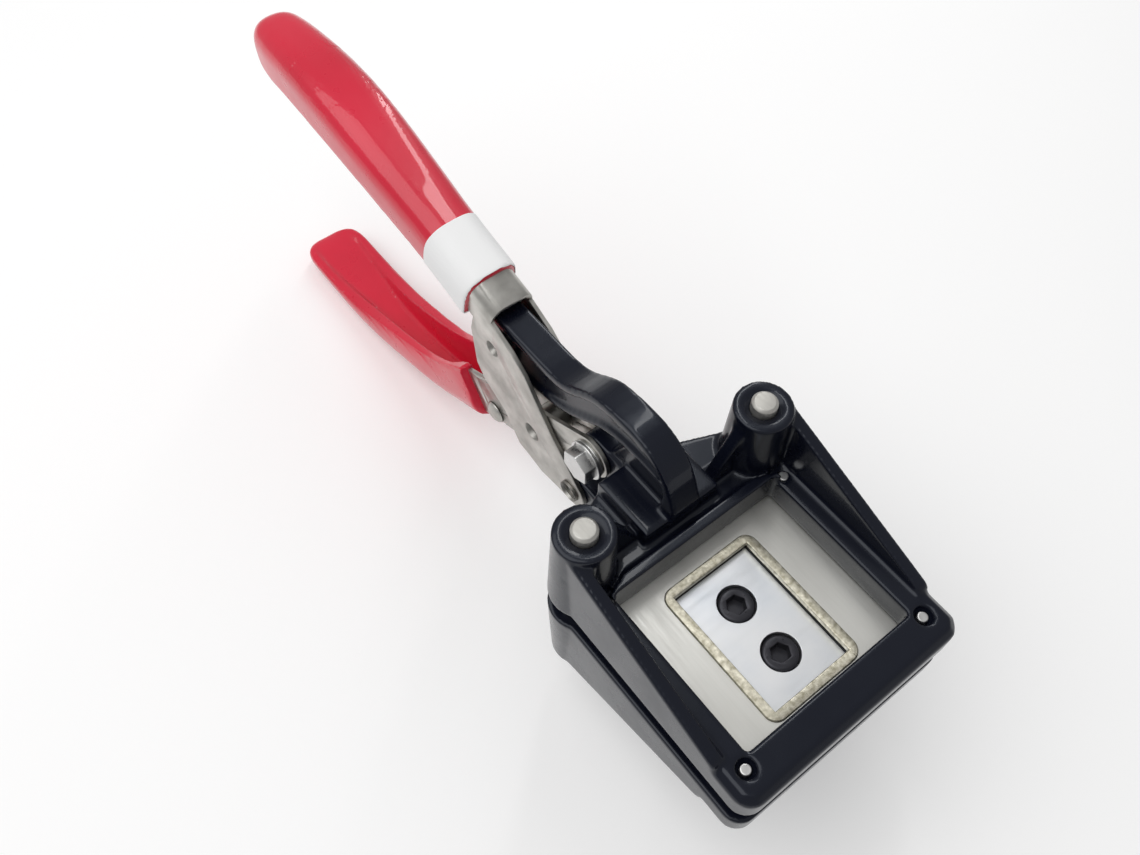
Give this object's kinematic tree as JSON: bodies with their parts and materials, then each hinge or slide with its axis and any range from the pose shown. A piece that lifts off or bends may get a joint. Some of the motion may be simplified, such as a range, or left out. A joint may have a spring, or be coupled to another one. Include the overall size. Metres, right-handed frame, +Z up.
{
  "type": "photo_die_cutter",
  "caption": "Hand-held die cutter for identity photos: black cast punch head with a steel die in a window, plier levers and red dipped grips",
  "frame": {"origin": "Centre of the die opening, on the top face of the die ring", "axes": "+X to the right across the head, +Y along the tool toward the handles, +Z up out of the die; rest pose is handles open"},
  "size_m": [0.0654, 0.2294, 0.0961],
  "materials": {
    "black_paint": "gloss",
    "die_steel": "brushed",
    "hard_steel": "ground",
    "black_steel": "satin",
    "bright_steel": "zinc",
    "spring_steel": "satin",
    "post_steel": "ground",
    "punch_steel": "polished",
    "black_oxide": "satin",
    "lever_steel": "satin",
    "red_vinyl": "gloss"
  },
  "bodies": {
    "upper_head": {"upper_casting": "black_paint", "die_plate": "die_steel", "die_ring": "hard_steel", "slot_rails": "black_steel", "stripper_plate": "black_steel", "die_screws": "bright_steel", "link_bolt": "bright_steel", "link_washers": "bright_steel", "link_nut": "bright_steel", "return_spring_left": "spring_steel", "return_spring_right": "spring_steel"},
    "lower_head": {"lower_casting": "black_paint", "guide_post_left": "post_steel", "guide_post_right": "post_steel", "punch": "punch_steel", "punch_screws": "black_oxide"},
    "lower_handle": {"lower_lever": "lever_steel", "lower_grip": "red_vinyl", "tie_rivet": "lever_steel", "tie_spacer": "lever_steel"},
    "upper_handle": {"upper_lever": "lever_steel", "upper_grip": "red_vinyl", "main_pivot": "bright_steel", "pivot_spacer": "lever_steel", "arm_pin": "bright_steel", "lift_pin": "bright_steel"}
  },
  "joints": [
    {"name": "head_slide", "type": "slide", "parent": "upper_head", "child": "lower_head", "axis": [0, 0, 1], "range_m": [0, 0.0042], "stiffness_N_per_m": 1500, "springref_m": -0.012, "deforming": ["return_spring_left", "return_spring_right"]},
    {"name": "lower_handle_hinge", "type": "hinge", "parent": "upper_head", "child": "lower_handle", "pos_m": [0, 0.0534, 0.0044], "axis": [1, 0, 0], "range_deg": [0, 4.01]},
    {"name": "handle_squeeze", "type": "hinge", "parent": "lower_handle", "child": "upper_handle", "pos_m": [0, 0.0749, -0.0105], "axis": [-1, 0, 0], "range_deg": [0, 13.18]}
  ],
  "couplings": [
    {"joint": "lower_handle_hinge", "follows": "head_slide", "rad_per_m": 16.66},
    {"joint": "handle_squeeze", "follows": "head_slide", "rad_per_m": 54.749}
  ]
}
